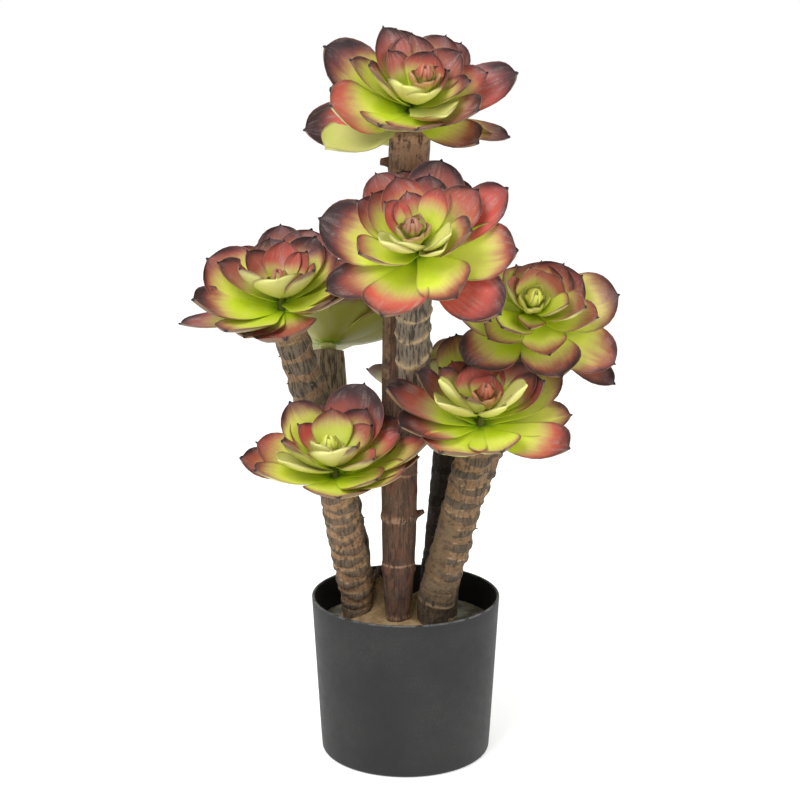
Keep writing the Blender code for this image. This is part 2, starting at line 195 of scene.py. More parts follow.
def makeGrain():
    # streaks drawn out along a trunk, and pits
    group, start, end = newGroup("barkGrain", {"Vector": None}, ["Streaks", "Pits"])
    squeeze = {0: start["Vector"], 1: (1.0, 1.0, 0.16)}
    drawn = put(group, "VectorMath", squeeze, operation="MULTIPLY").outputs[0]
    feed(end["Streaks"], noiseAt(drawn, 560.0, 5.0, 0.62))
    feed(end["Pits"], noiseAt(start["Vector"], 260.0, 4.0, 0.7))
    return group


dustGroup = makeDust()
grainGroup = makeGrain()


def placeDust(vector, patch, speck, amount):
    inputs = {"Vector": vector, "Patch Scale": patch, "Speck Scale": speck, "Amount": amount}
    return put(vector.id_data, "Group", inputs, node_tree=dustGroup).outputs["Mask"]


# Leaves.
paint = {
    # painted shade: the root green is deeper where the leaves fold together at their bases
    "root": (0.27, 0.46, 0.012),  # deeper green at the folded roots
    "lime": (0.62, 0.79, 0.022),
    "yellow": (0.83, 0.83, 0.17),  # pale middle of the blade
    "olive": (0.13, 0.135, 0.026),  # shaded green of the inner leaves
    "tan": (0.56, 0.36, 0.17),  # where the sprayed red starts
    "rose": (0.325, 0.086, 0.066),
    "red": (0.59, 0.066, 0.066),
    "maroon": (0.128, 0.036, 0.039),
    "soot": (0.024, 0.018, 0.023),  # dark tip
    "bloom": (0.56, 0.43, 0.4),  # whitish dust over the red
    "pale": (0.7, 0.67, 0.27),  # underside
    # darker undersides, partly their own olive green and partly painted shade
    "shade": (0.24, 0.232, 0.026),  # darker undersides
    "rim": (0.44, 0.19, 0.12),
}


# what each point of a leaf carries: where the red and the soot start, how far the margins are ahead, how
# olive it is, how bright its red, how dark its underside, 1 on its upper side, and its place on the leaf
leafMarks = ("blush", "soot", "edge", "tone", "hue", "under", "side", "across", "along")


def makeLeafSkin():
    material, tree, shader = startMaterial("leafSkin", 0.48, 0.4)
    leafMap = put(tree, "UVMap", uv_map="leafMap").outputs["UV"]
    across, along = put(tree, "SeparateXYZ", {0: leafMap}).outputs[:2]
    offCentre = mathNode("ABSOLUTE", times(minus(across, 0.5), 2.0))
    place = objectPlace(tree)
    blush, soot, edge, tone, hue, dim, side = (markOf(tree, title) for title in leafMarks[:7])
    cloud = minus(noiseAt(place, 48.0), 0.5)
    fine = noiseAt(place, 1100.0, 2.0, 0.7)
    # brushed lines along the blade, different on each leaf
    drawn = put(tree, "CombineXYZ", {0: times(across, 15.0), 1: times(along, 1.6), 2: times(blush, 70.0)})
    brushed = minus(noiseAt(drawn.outputs[0], 1.0), 0.5)
    # how far a spot lies toward the tip, with the margins ahead of the middle
    reach = plus(along, times(times(mathNode("POWER", offCentre, 3.0), fade(along, 0.35, 0.8)), edge))
    for value, share in ((cloud, 0.2), (fine, 0.05), (brushed, 0.13)):
        reach = plus(reach, times(value, share))
    past, sooted = minus(reach, blush), minus(reach, soot)
    # green ground, from the deeper root green, a painted shade, to the yellow middle
    green = blend(tone, paint["lime"], paint["olive"])
    ground = blend(fade(along, 0.04, 0.2), paint["root"], green)
    glow = times(fade(plus(along, cloud), 0.22, 0.68, 0.75), minus(1.0, tone))
    ground = blend(glow, ground, paint["yellow"])
    # sprayed tan, rose, maroon and soot toward the tip and the margins
    upper = blend(fade(past, -0.22, 0.02, 0.8), ground, paint["tan"])
    upper = blend(fade(past, -0.08, 0.16, 0.92), upper, blend(hue, paint["rose"], paint["red"]))
    upper = blend(fade(sooted, -0.2, 0.04, 0.8), upper, paint["maroon"])
    sooty = fade(sooted, -0.06, 0.12, 0.9)
    upper = blend(sooty, upper, paint["soot"])
    # a whitish bloom in brushed streaks over the red
    specks = fade(noiseAt(place, 900.0, 3.0, 0.8), 0.25, 0.75, 0.7)
    dust = times(fade(noiseAt(place, 75.0, 4.0, 0.6), 0.36, 0.66), specks)
    dust = times(dust, fade(brushed, -0.1, 0.16))
    dust = times(times(fade(past, -0.06, 0.16), dust), minus(1.0, times(sooty, 0.55)))
    upper = blend(dust, upper, paint["bloom"])
    # pale underside that darkens only close to the tip
    lower = blend(fade(cloud, -0.15, 0.2, 0.3), paint["pale"], green)
    # darker undersides, partly their own olive green and partly painted shade where a head hangs in shadow
    lower = blend(dim, lower, paint["shade"])
    lower = blend(fade(along, 0.02, 0.22), paint["root"], lower)
    lower = blend(fade(sooted, -0.12, 0.06, 0.85), lower, paint["maroon"])
    colour = blend(side, lower, upper)
    # dark outline, worn margin where the leaf is red, and the dark point
    outline = times(fade(offCentre, 0.88, 0.97), fade(along, 0.35, 0.65, 0.5))
    worn = times(fade(offCentre, 0.965, 0.995), fade(past, -0.15, 0.05, 0.6))
    point = times(fade(along, 0.994, 0.999), fade(soot, 1.15, 1.1))
    for share, title in ((outline, "maroon"), (worn, "rim"), (point, "soot")):
        colour = blend(share, colour, paint[title])
    feed(shader.inputs["Base Color"], colour)
    feed(shader.inputs["Roughness"], plus(plus(times(sooty, 0.14), times(fine, 0.16)), 0.37))
    addBump(shader, plus(plus(times(fine, 0.25), noiseAt(place, 160.0)), brushed), 0.25, 0.0006)
    return material


# Each head: its seat, and its lean to the viewer and to the right. Bud: millimetres to the right, away and
# up, size, where its red starts, how bright that is, how olive it is. Spray: how much later the red starts,
# how bright it is, partly the head's own red and partly painted light, set brighter on heads shaded by the
# upper ones, how olive the green is and how dark the undersides are, partly painted shade. A leaf:
# direction, opening, length and width in millimetres, and where it differs, roll.
headPlan = {
    "head_top": {
        "seat": (0.004, 0, 0.512), "lean": (33, 6), "bud": ((6, 4, 22), 1.05, 0.55, 0.6, 0.45),
        "spray": (-0.02, 0.36, 0.05, 0.1),
        "outer": [(162, 65, 82, 46, -0.3), (204, 74, 72, 48, -0.25), (190, 102, 82, 40, -0.3),
            (211, 100, 74, 56, 0.3), (245, 66, 70, 48), (270, 62, 72, 44), (318, 58, 72, 42, 0.2),
            (351, 96, 76, 38, -0.3), (11, 69, 85, 44, 0.15), (316, 80, 68, 38), (128, 84, 60, 42),
            (90, 86, 60, 42), (50, 86, 62, 40)],
        "middle": [(130, 43, 63, 36), (106, 64, 64, 42), (66, 64, 64, 40), (56, 72, 68, 40, 0),
            (14, 66, 62, 32), (346, 50, 54, 28), (172, 58, 60, 32), (190, 44, 54, 34), (298, 62, 56, 38)],
        "inner": [(96, 54, 52, 38), (36, 56, 52, 36), (245, 42, 44, 32), (286, 46, 42, 32), (140, 44, 42, 28),
            (62, 42, 40, 32), (18, 48, 36, 26)]},
    "head_middle": {
        "seat": (0.011, -0.06, 0.412), "lean": (40, -4), "bud": ((-4, 1, 19), 1.15, 0.62, 0.1, 0.45),
        "spray": (0, 0.65, 0, 0.1),
        "outer": [(26, 66, 81, 40, 0), (347, 75, 76, 46, 0.3), (313, 89, 84, 44, 0.2), (311, 98, 76, 32),
            (248, 78, 76, 48), (202, 92, 75, 42), (166, 72, 80, 46, -0.4), (119, 66, 72, 42),
            (100, 76, 72, 44), (76, 73, 78, 44, 0.3), (66, 88, 78, 38)],
        "middle": [(36, 64, 62, 38), (296, 80, 62, 42, 0.2), (214, 58, 62, 42), (150, 62, 60, 34),
            (136, 60, 56, 38), (111, 54, 58, 36), (80, 62, 58, 38), (338, 48, 58, 36)],
        "inner": [(223, 47, 50, 30), (236, 41, 43, 30), (105, 46, 42, 28), (145, 44, 44, 26),
            (55, 42, 48, 24), (305, 52, 42, 26), (325, 44, 44, 28)]},
    "head_left": {
        "seat": (-0.095, 0, 0.361), "lean": (20, -5), "bud": ((0, 0, 17), 0.95, 0.8, 0.2, 0.6),
        "spray": (0, 0.5, 0.05, 0.1),
        "outer": [(191, 89, 80, 36, 0.2), (200, 70, 74, 44, -0.1), (162, 58, 70, 44, -0.6), (90, 58, 73, 40),
            (66, 60, 71, 46), (345, 60, 74, 38), (330, 66, 74, 40), (276, 80, 72, 50), (238, 75, 74, 44),
            (242, 84, 56, 42), (125, 80, 70, 44), (35, 80, 68, 42)],
        "middle": [(168, 56, 58, 40), (100, 60, 58, 38), (22, 58, 60, 38), (318, 72, 62, 38),
            (130, 62, 60, 36), (50, 54, 58, 38)],
        "inner": [(215, 42, 50, 34), (274, 44, 46, 40), (327, 50, 48, 34), (145, 42, 44, 32),
            (80, 42, 44, 30), (35, 46, 40, 26)]},
    "head_low_left": {
        "seat": (-0.054, -0.04, 0.2375), "lean": (16, -3), "bud": ((-3, 0, 17), 1.05, 1.3, 0.2, 0.1),
        "spray": (0.07, 0.6, 0, 0.05),
        "outer": [(178, 77, 74, 38, -0.1), (172, 65, 66, 40, -0.25), (209, 68, 72, 36, 0),
            (140, 40, 67, 43, -0.1), (56, 38, 75, 54, 0), (25, 60, 66, 42), (348, 72, 70, 42),
            (326, 72, 68, 40), (275, 76, 56, 52, -0.1), (100, 74, 48, 38), (351, 66, 84, 38, 0),
            (310, 70, 56, 36)],
        "middle": [(134, 52, 54, 38), (83, 54, 60, 42), (42, 44, 53, 36), (0, 62, 60, 36), (212, 62, 54, 38),
            (200, 50, 54, 30)],
        "inner": [(150, 50, 42, 28), (92, 38, 44, 32), (20, 52, 42, 28), (270, 46, 40, 38), (315, 48, 38, 26),
            (226, 36, 34, 26), (318, 66, 48, 30)]},
    "head_low_right": {
        "seat": (0.056, -0.045, 0.28), "lean": (24, 0), "bud": ((4, 1, 19), 1, 0.3, 0.75, 0.25),
        "spray": (0.06, 0.6, 0, 0.05),
        "outer": [(180, 66, 80, 44), (207, 72, 72, 46), (104, 66, 79, 44, 0.2), (243, 74, 72, 50, 0),
            (285, 74, 60, 40), (326, 82, 79, 44), (358, 82, 70, 38), (22, 68, 74, 40), (172, 48, 66, 36),
            (78, 66, 60, 40), (48, 78, 68, 42)],
        "middle": [(120, 58, 50, 34), (28, 56, 58, 38), (8, 60, 58, 34), (85, 52, 49, 36),
            (150, 48, 50, 28)],
        "inner": [(199, 42, 52, 28), (218, 54, 54, 34), (334, 45, 54, 30), (306, 50, 42, 30),
            (228, 36, 30, 24), (105, 46, 38, 32), (60, 42, 31, 28)]},
    "head_right": {
        "seat": (0.095, -0.005, 0.355), "lean": (47, 10), "bud": ((-3, 0, 17), 1.1, 1.3, 0.2, 0),
        "spray": (0.16, 0.42, 0, 0.15),
        "outer": [(224, 92, 68, 46, 0.2), (289, 78, 64, 46), (323, 94, 83, 24), (327, 83, 76, 46),
            (9, 68, 71, 48, 0.2), (60, 80, 48, 42), (104, 82, 44, 40), (145, 76, 50, 40), (190, 80, 60, 42)],
        "middle": [(222, 76, 52, 34), (282, 72, 49, 36), (32, 58, 49, 42), (56, 54, 46, 38), (84, 54, 41, 40),
            (334, 54, 60, 32), (228, 58, 54, 34), (140, 54, 42, 32)],
        "inner": [(256, 60, 34, 22), (322, 34, 44, 26), (330, 44, 54, 32), (110, 38, 36, 32),
            (40, 40, 36, 32), (176, 42, 42, 26)]},
    "head_rear_left": {
        "seat": (-0.062, 0.056, 0.322), "lean": (-34, 6), "bud": ((0, 0, 17), 1, 1.3, 0.2, 0.4),
        "spray": (0.06, 0.4, 0.1, 0.9),
        "outer": [(336, 72, 70, 44), (298, 70, 62, 40), (2, 72, 72, 42), (262, 70, 58, 40), (228, 72, 64, 42),
            (192, 74, 68, 42), (155, 74, 70, 42), (118, 74, 70, 42), (82, 70, 70, 44, -0.3),
            (38, 66, 68, 42)],
        "middle": [(345, 52, 56, 36), (292, 50, 54, 36), (240, 50, 54, 36), (185, 52, 54, 36),
            (130, 52, 54, 36), (70, 52, 54, 36), (20, 52, 54, 36)],
        "inner": [(310, 36, 40, 28), (220, 34, 40, 28), (130, 36, 40, 28), (40, 34, 40, 28)]},
    "head_rear_right": {
        "seat": (0.04, 0.076, 0.272), "lean": (-24, 6), "bud": ((0, 0, 17), 1, 1.3, 0.2, 0.4),
        "spray": (0.04, 0.45, 0.1, 0.55),
        "outer": [(181, 79, 75, 42, 0.2), (215, 74, 60, 40), (250, 68, 54, 40), (288, 68, 54, 40),
            (325, 74, 62, 40), (2, 76, 66, 42), (42, 76, 66, 42), (85, 76, 66, 42), (130, 76, 66, 42)],
        "middle": [(200, 52, 52, 34), (256, 48, 52, 34), (310, 50, 50, 34), (10, 52, 52, 34),
            (75, 52, 52, 34), (140, 52, 52, 34)],
        "inner": [(300, 34, 38, 26), (210, 34, 38, 26), (120, 34, 38, 26), (30, 34, 38, 26)]},
}
# leaves that only this finer model has: a pale pair behind the tall trunk, their roots wide
underLeaves = {"head_top": [(133, 113, 94, 34, -1.3, 1), (6, 108, 76, 38, -1, 0.7)]}
underSpray = (0, 0.3, 0, 0.25)
budLeaves = [(30, 6, 18, 14), (150, 5, 19, 14), (270, 7, 17, 14), (90, 2, 17, 11), (225, 1, 16, 11)]
collarLeaves = [(64, 34, 20, 14), (118, 38, 17, 13), (188, 34, 20, 14), (244, 40, 16, 14), (300, 35, 17, 14),
                (4, 39, 19, 13)]
# each whorl: its start up the axis, how its leaves are cupped, rolled, bent, pointed and how thick they are,
# and the ranges of their marks
whorlPlan = named(("rise", "cup", "roll", "bend", "point", "body", "tone", "blush", "soot", "edge"), {
    "outer": (0, 0.2, 0.1, -12, 0, 0.0021, (0, 0.12), (0.68, 0.88), (0.92, 1.03), (0.1, 0.32)),
    "middle": (0.006, 0.32, 0.1, -16, 0.3, 0.0021, (0, 0.25), (0.6, 0.84), (0.91, 1.03), (0.08, 0.28)),
    "inner": (0.011, 0.44, 0.08, -18, 0.5, 0.0021, (0.1, 0.45), (0.5, 0.74), (0.93, 1.06), (0.06, 0.22)),
    "bud": (0.002, 0.7, 0, -42, 0.2, 0.0036, (0, 0.1), (0, 0.1), (1.15, 1.25), (0.05, 0.15)),
    "collar": (-0.003, 0.6, 0, -30, 0.6, 0.0028, (0, 0.25), (0.15, 0.35), (1.16, 1.25), (0.05, 0.15)),
    "under": (-0.002, 0.15, 0, -8, 1.7, 0.002, (0, 0.1), (0.8, 0.9), (1, 1.04), (0, 0.1)),
})
# leaves sprayed in their own way, by whorl and place in it: where the red and the soot start, how bright the
# red is, and what else differs
creamy = (1.3, 1.5, None, {"tone": 0.05, "side": 0.15, "under": 0})
leafMoods = {
    "head_top": {
        "outer": {0: (0.74, 0.9, 0.2), 1: (0.72, 1.1, 0.7), 2: (0.5, 0.84, 1), 8: (0.56, 0.9, 0.8),
                  3: (1.3, 1.5, None, {"side": 0, "under": 0.2})},
        "middle": {6: (0.9, 0.98), 8: creamy}, "inner": {2: creamy, 3: creamy}},
    "head_middle": {
        "outer": {0: (0.42, 1, 1), 1: (0.82, 0.98, 0.9), 2: (0.36, 0.93, 1), 3: (0.3, None, 0.9),
                  4: (0.64, 0.99, 1), 5: (0.66, 0.86, 0.5), 6: (0.72, 0.84, 0.8)},
        "middle": {2: (0.8,)}, "inner": {0: creamy, 1: creamy, 5: creamy, 6: creamy}},
    "head_left": {"outer": {1: (0.72, 0.86), 7: (0.45, 0.85, 0.4), 8: (0.8, 0.95)}, "inner": {1: creamy}},
    "head_low_left": {
        "outer": {4: (0.46, 0.84, 0.5)}, "middle": {4: creamy}, "inner": {1: (0.86,), 3: creamy, 5: creamy}},
    "head_low_right": {
        "outer": {0: (0.58, 0.9, 0.6), 1: (0.6, 0.86), 3: (0.78, 1.1, 0.9, {"edge": 0.4}),
                  5: (0.72, 0.97, 0.9), 8: (0.66, 0.86, 0.7, {"tone": 0.1})},
        "inner": {0: creamy, 1: creamy, 2: creamy, 3: creamy}},
    "head_right": {
        "outer": {0: (0.74, 0.9, 0.3, {"edge": 0.3}), 1: (0.76, 0.92, 0.5, {"edge": 0.3}), 2: (0.66, 0.9),
                  3: (0.82, 0.97, None, {"tone": 0}), 4: (0.84, 0.95, 0.1, {"tone": 0.3})}},
    "head_rear_left": {
        "outer": {n: (None, None, None, {"under": dark}) for n, dark in ((3, 0.8), (4, 0.55), (5, 0.45))}},
    "head_rear_right": {"outer": {0: (0.75, 0.92, None, {"under": 0.7})}},
}
leafSet = {"tipPoint": 0.0024, "widest": 0.66, "rootShare": 0.25, "around": 22, "crease": 0.0006,
           "wave": (0.0003, 0.0012), "fold": (0, 0.4), "curl": (0.0004, 0.002), "madeFor": 0.07,
           "coreRadius": 0.0078, "coreHeight": 0.02, "coreNeck": 0.0085, "coreSunk": 0.002}
# the rings of a leaf: share of the length, then how far the dark point is drawn out and how slim it is
leafRings = [(share, 0, 1) for share in (0, 0.09, 0.18, 0.28, 0.38, 0.48, 0.57, leafSet["widest"])]
leafEnds = [(turn, 0, 1) for turn in (16, 32, 47, 60, 70, 78)] + [(84, 0.2, 0.5), (88, 0.62, 0.5), (90, 1, 0)]
for turn, *look in leafEnds:
    leafRings.append((leafSet["widest"] + (1 - leafSet["widest"]) * math.sin(math.radians(turn)), *look))


def sideAxes(direction):
    # to the viewer's right, and away, square to a direction
    right = (Vector((1, 0, 0)) - direction * direction.x).normalized()
    return right, direction.cross(right)


def headAxes(plan):
    face, side = (math.radians(turn) for turn in plan["lean"])
    axis = Vector((math.sin(side), -math.sin(face) * math.cos(side), math.cos(face) * math.cos(side)))
    return *sideAxes(axis), axis


def halfWidth(share, width, root, point):
    widest = leafSet["widest"]
    if share < widest:
        return 0.5 * width * (root + (1 - root) * smooth(0, widest, share))
    t = (share - widest) / (1 - widest)
    return 0.5 * width * math.sqrt(max(0.0, 1 - t ** (2.3 - 0.9 * point)))


def makeBall():
    # the ball that every leaf is drawn out of, and the ring, across and over of each of its points
    ball = bmesh.new()
    for title in leafMarks:
        ball.verts.layers.float.new(title)
    levels = len(leafRings) - 1
    bmesh.ops.create_uvsphere(ball, u_segments=leafSet["around"], v_segments=levels, radius=1.0)
    spots = []
    for vertex in ball.verts:
        ring = round(math.acos(max(-1.0, min(1.0, vertex.co.z))) / math.pi * levels)
        flat = math.hypot(vertex.co.x, vertex.co.y)
        spots.append((ring, vertex.co.y / flat, vertex.co.x / flat) if flat > 0.001 else (ring, 0.0, 0.0))
    return keepMesh("leafBall", ball), spots


def sprayLooks(whorl, spray, mood, chance):
    # the marks of one leaf: from its whorl's ranges, shifted as its head was sprayed, then its own
    later, bright, olive, shade = spray
    shifts = (("blush", later), ("soot", 0.5 * later), ("edge", 0.0), ("tone", olive))
    looks = {title: chance.uniform(*whorl[title]) + shift for title, shift in shifts}
    looks["hue"] = bright + chance.uniform(-0.35, 0.35)
    looks["under"] = shade + chance.uniform(-0.1, 0.15)
    looks.update({title: value for title, value in zip(("blush", "soot", "hue"), mood) if value is not None})
    looks.update(*mood[3:])
    for title in ("hue", "under"):
        looks[title] = min(1.0, max(0.0, looks[title]))
    return looks


def addLeaf(shape, ball, seat, axes, leaf, whorl, looks, chance):
    # the ball is drawn out along an arc into a cupped spoon, thin at the margins, with a small point
    right, away, axis = axes
    direction, opening = leaf[:2]
    length, width = leaf[2] / 1000, leaf[3] / 1000
    roll = leaf[4] if len(leaf) > 4 else whorl["roll"]
    root = leaf[5] if len(leaf) > 5 else leafSet["rootShare"]
    turn = math.radians(direction)
    reach = right * math.cos(turn) + away * math.sin(turn)
    across = axis.cross(reach)
    start = math.radians(opening - whorl["bend"])
    swing = math.radians(2 * whorl["bend"])
    phase = chance.uniform(0, 6.28)
    wave, fold, curl = (chance.uniform(*leafSet[title]) for title in ("wave", "fold", "curl"))
    wave, curl = (depth * length / leafSet["madeFor"] for depth in (wave, curl))
    mesh, spots = ball
    rings = []
    for share, drawn, slim in leafRings:
        bend = start + swing * share
        spine = length / swing * ((math.cos(start) - math.cos(bend)) * reach
                                  + (math.sin(bend) - math.sin(start)) * axis)
        facing = math.sin(bend) * axis - math.cos(bend) * reach
        forward = math.sin(bend) * reach + math.cos(bend) * axis + 0.25 * facing
        spine = spine + min(leafSet["tipPoint"], 0.06 * length) * drawn * forward
        half = halfWidth(share, width, root, whorl["point"]) * slim
        body = whorl["body"] * (1.35 - 0.7 * share) * (1 - 0.5 * drawn)
        rings.append((seat + axis * whorl["rise"] + spine, facing, half, body, share))
    first = len(shape.verts)
    shape.from_mesh(mesh)
    shape.verts.ensure_lookup_table()
    layers = {title: shape.verts.layers.float[title] for title in leafMarks}
    for vertex, (ring, lateral, upper) in zip(shape.verts[first:], spots):
        place, facing, half, body, share = rings[ring]
        cupped = (1 - fold) * lateral * lateral + fold * abs(lateral)
        lift = half * (whorl["cup"] * cupped + roll * lateral) + 0.5 * body * upper
        lift += wave * math.sin(7 * share + phase) * lateral * smooth(0.3, 0.7, share)
        lift += curl * (smooth(0.8, 1.0, share) + smooth(0.7, 1.0, abs(lateral)) * smooth(0.35, 0.7, share))
        lift -= (leafSet["crease"] * math.exp(-(lateral / 0.14) ** 2)
                 * smooth(0.1, 0.4, share) * smooth(1.0, 0.8, share))
        vertex.co = place + across * (half * lateral) + facing * lift
        for title, value in looks.items():
            vertex[layers[title]] = value
        vertex[layers["side"]] = looks.get("side", smooth(-0.35, 0.15, upper))
        vertex[layers["across"]] = 0.5 + 0.5 * lateral
        vertex[layers["along"]] = share


def buildHead(name, material, ball, seed):
    plan, moods = headPlan[name], leafMoods.get(name, {})
    shift, size, *budSpray = plan["bud"]
    seat, axes = Vector(plan["seat"]), headAxes(plan)
    budSeat = seat + sum((axis * step / 1000 for axis, step in zip(axes, shift)), Vector())
    chance = random.Random(seed)
    shape = bmesh.new()

    def seatLeaf(kind, leaf, spray, mood, root):
        looks = sprayLooks(whorlPlan[kind], spray, mood, chance)
        addLeaf(shape, ball, root, axes, leaf, whorlPlan[kind], looks, chance)

    for kind in ("outer", "middle", "inner"):
        for place, leaf in enumerate(plan[kind]):
            seatLeaf(kind, leaf, plan["spray"], moods.get(kind, {}).get(place, ()), seat)
    for leaf in underLeaves.get(name, []):
        seatLeaf("under", leaf, underSpray, (None, None, None, {"side": 0.0 if leaf[0] > 90 else 0.6}), seat)
    for kind, leaves, upper in (("bud", budLeaves, 0.9), ("collar", collarLeaves, 0.6)):
        for direction, opening, length, width in leaves:
            leaf = (direction, opening, length * size, width * size)
            seatLeaf(kind, leaf, (*budSpray, 0.1), (None, 1.2, None, {"side": upper}), budSeat)
    layers = {title: shape.verts.layers.float[title] for title in leafMarks}
    # the stub that the leaves are pushed onto, which ends inside the bud
    core = bmesh.ops.create_uvsphere(shape, u_segments=20, v_segments=10, radius=1.0)
    for vertex in core["verts"]:
        x, y, z = vertex.co
        wide = leafSet["coreRadius"] * (1.0 if z < -0.1 else 0.45 - 0.1 * z)
        lean = max(0.0, z) * (budSeat - seat - axes[2] * (budSeat - seat).dot(axes[2]))
        vertex.co = (seat + axes[0] * x * wide + axes[1] * y * wide + lean
                     + axes[2] * (z * leafSet["coreHeight"] if z > 0 else z * leafSet["coreNeck"]))
        # painted shade: the top of the core is dark olive, where the leaves close over it
        tone, over = (1.0, 1.0) if z > -0.3 else (0.5, 0.0)
        for title, value in (("blush", 3.0), ("soot", 3.0), ("tone", tone), ("side", over), ("along", 0.18)):
            vertex[layers[title]] = value
    faceOut(shape)
    uv = shape.loops.layers.uv.new("leafMap")
    for face in shape.faces:
        for loop in face.loops:
            loop[uv].uv = (loop.vert[layers["across"]], loop.vert[layers["along"]])
    addPiece(name + "_leaves", shape, material, name)


leafSkin = makeLeafSkin()
leafBall = makeBall()
for seed, headName in enumerate(headPlan):
    buildHead(headName, leafSkin, leafBall, seed + 11)
bpy.data.meshes.remove(leafBall[0])
print("heads built:", len(headPlan))


# Trunks: x, y, z and radius of each point. Scars: how many crescent leaf scars, and from where to where as
# shares of the length. A ring: height, half its own height, rise, how light it is, and if tilted, how far it
# sags at the front and leans up at the right. A rub or a coat: turn and height, how far it spreads round and
# up (degrees, metres) and its strength. A shard: root, direction, length, thickness, bluntness.
trunkPlan = {
    "trunk_tall": {
        "head": "head_top", "topRadius": 0.015, "scars": (0, 0.245, 0.93), "look": "smooth",
        "rings": [(0.232, 0.0007, 0.0003, 0.9), (0.1966, 0.0026, 0.001, 0.75), (0.1945, 0.0006, 0.0004, 1.3),
            (0.1582, 0.0007, 0.0003, 1.3), (0.1535, 0.0035, 0.0013, 0), (0.114, 0.0014, 0.0008, 0.8),
            (0.47, 0.001, 0.0004, 0.4, 0.001, 0), (0.488, 0.019, 0, 0.72),
            (0.495, 0.0034, 0.0005, 1.8, 0.002, 0)],
        "rubs": [(270, 0.497, 220, 0.0045, 1), (270, 0.47, 220, 0.034, 0.18), (200, 0.312, 40, 0.005, 1),
            (212, 0.345, 30, 0.03, 0.75), (300, 0.435, 24, 0.01, 0.8), (245, 0.27, 22, 0.012, 0.5),
            (300, 0.138, 60, 0.02, 0.35)],
        "shards": [((-0.0125, 0.001, 0.4743), (-1, -0.2, 0.1), 0.0088, 0.0044, 0.62),
            ((0.008, -0.007, 0.1975), (1, -0.2, 0.4), 0.0085, 0.0036, 0.5),
            ((-0.017, -0.008, 0.16), (-0.3, -0.1, 1), 0.005, 0.0016, 0.4)], "torn": 3,
        "points": [(-0.0065, -0.009, 0.045, 0.0078), (-0.0065, -0.009, 0.106, 0.0079),
            (-0.006, -0.0085, 0.138, 0.011), (-0.005, -0.007, 0.2095, 0.0132),
            (-0.004, -0.001, 0.335, 0.0134), (0.0015, 0, 0.46, 0.0146)]},
    "trunk_low_left": {
        "head": "head_low_left", "topRadius": 0.013, "scars": (11, 0.4, 0.975), "look": "sandy",
        "shards": [((-0.0245, 0.006, 0.1425), (0.3, -0.2, 1), 0.0095, 0.0052, 0.4)], "torn": 12,
        "points": [(-0.0383, 0.011, 0.045, 0.0105), (-0.0383, 0.011, 0.106, 0.0108),
            (-0.0403, 0.004, 0.138, 0.0134), (-0.0473, -0.011, 0.18, 0.0134)]},
    "trunk_left": {
        "head": "head_left", "topRadius": 0.0132, "scars": (12, 0.42, 0.98), "look": "cracked", "torn": 22,
        "points": [(-0.0375, 0.04, 0.045, 0.0115), (-0.0375, 0.04, 0.106, 0.0118),
            (-0.0515, 0.027, 0.205, 0.013), (-0.0745, 0.012, 0.287, 0.0132)]},
    "trunk_low_right": {
        "head": "head_low_right", "topRadius": 0.013, "scars": (11, 0.43, 0.98), "look": "ringed", "torn": 8,
        "rings": [(0.1268, 0.0014, 0.0007, 0.9)],
        "coats": [(212, 0.176, 52, 0.026, 1), (250, 0.14, 130, 0.0095, 0.75)],
        "points": [(0.0215, -0.008, 0.045, 0.01), (0.0215, -0.008, 0.106, 0.0104),
            (0.0265, -0.014, 0.14, 0.014), (0.0415, -0.025, 0.201, 0.0144)]},
    "trunk_right": {
        "head": "head_right", "topRadius": 0.0128, "scars": (15, 0.38, 0.98), "look": "ringed", "torn": 10,
        "rings": [(0.2119, 0.0022, 0.0012, 0.8)],
        "points": [(0.0297, 0.019, 0.045, 0.0106), (0.0297, 0.019, 0.106, 0.0106),
            (0.0355, 0.02, 0.16, 0.0122), (0.064, 0.02, 0.245, 0.0134), (0.085, 0.015, 0.315, 0.013)]},
    "trunk_rear_right": {
        "head": "head_rear_right", "topRadius": 0.0125, "scars": (6, 0.45, 0.97), "look": "dark",
        "points": [(0.0225, 0.045, 0.045, 0.0108), (0.0225, 0.045, 0.106, 0.011), (0.028, 0.046, 0.16, 0.012),
            (0.034, 0.054, 0.215, 0.0126)]},
    "branch_middle": {
        "head": "head_middle", "topRadius": 0.0128, "scars": (0, 0.32, 0.97), "look": "grey", "torn": 6,
        "rings": [(0.364, 0.0017, 0.0014, 1.2, 0.003, 0.0012), (0.3478, 0.0019, 0.0016, 1.4, 0.0035, 0.002),
            (0.33, 0.0026, 0.0018, 1.4, 0.0055, 0.0045), (0.308, 0.0015, 0.0012, 1.1, 0.004, 0.004)],
        "points": [(0.007, -0.013, 0.272, 0.009), (0.0075, -0.0205, 0.3, 0.0122),
            (0.006, -0.03, 0.335, 0.0128), (0.006, -0.042, 0.372, 0.0128)]},
    "branch_rear_left": {
        "head": "head_rear_left", "topRadius": 0.0128, "scars": (0, 0.3, 0.96), "look": "reed",
        "points": [(-0.05, 0.037, 0.192, 0.0095), (-0.054, 0.045, 0.222, 0.0125),
            (-0.059, 0.051, 0.275, 0.0128)]},
}
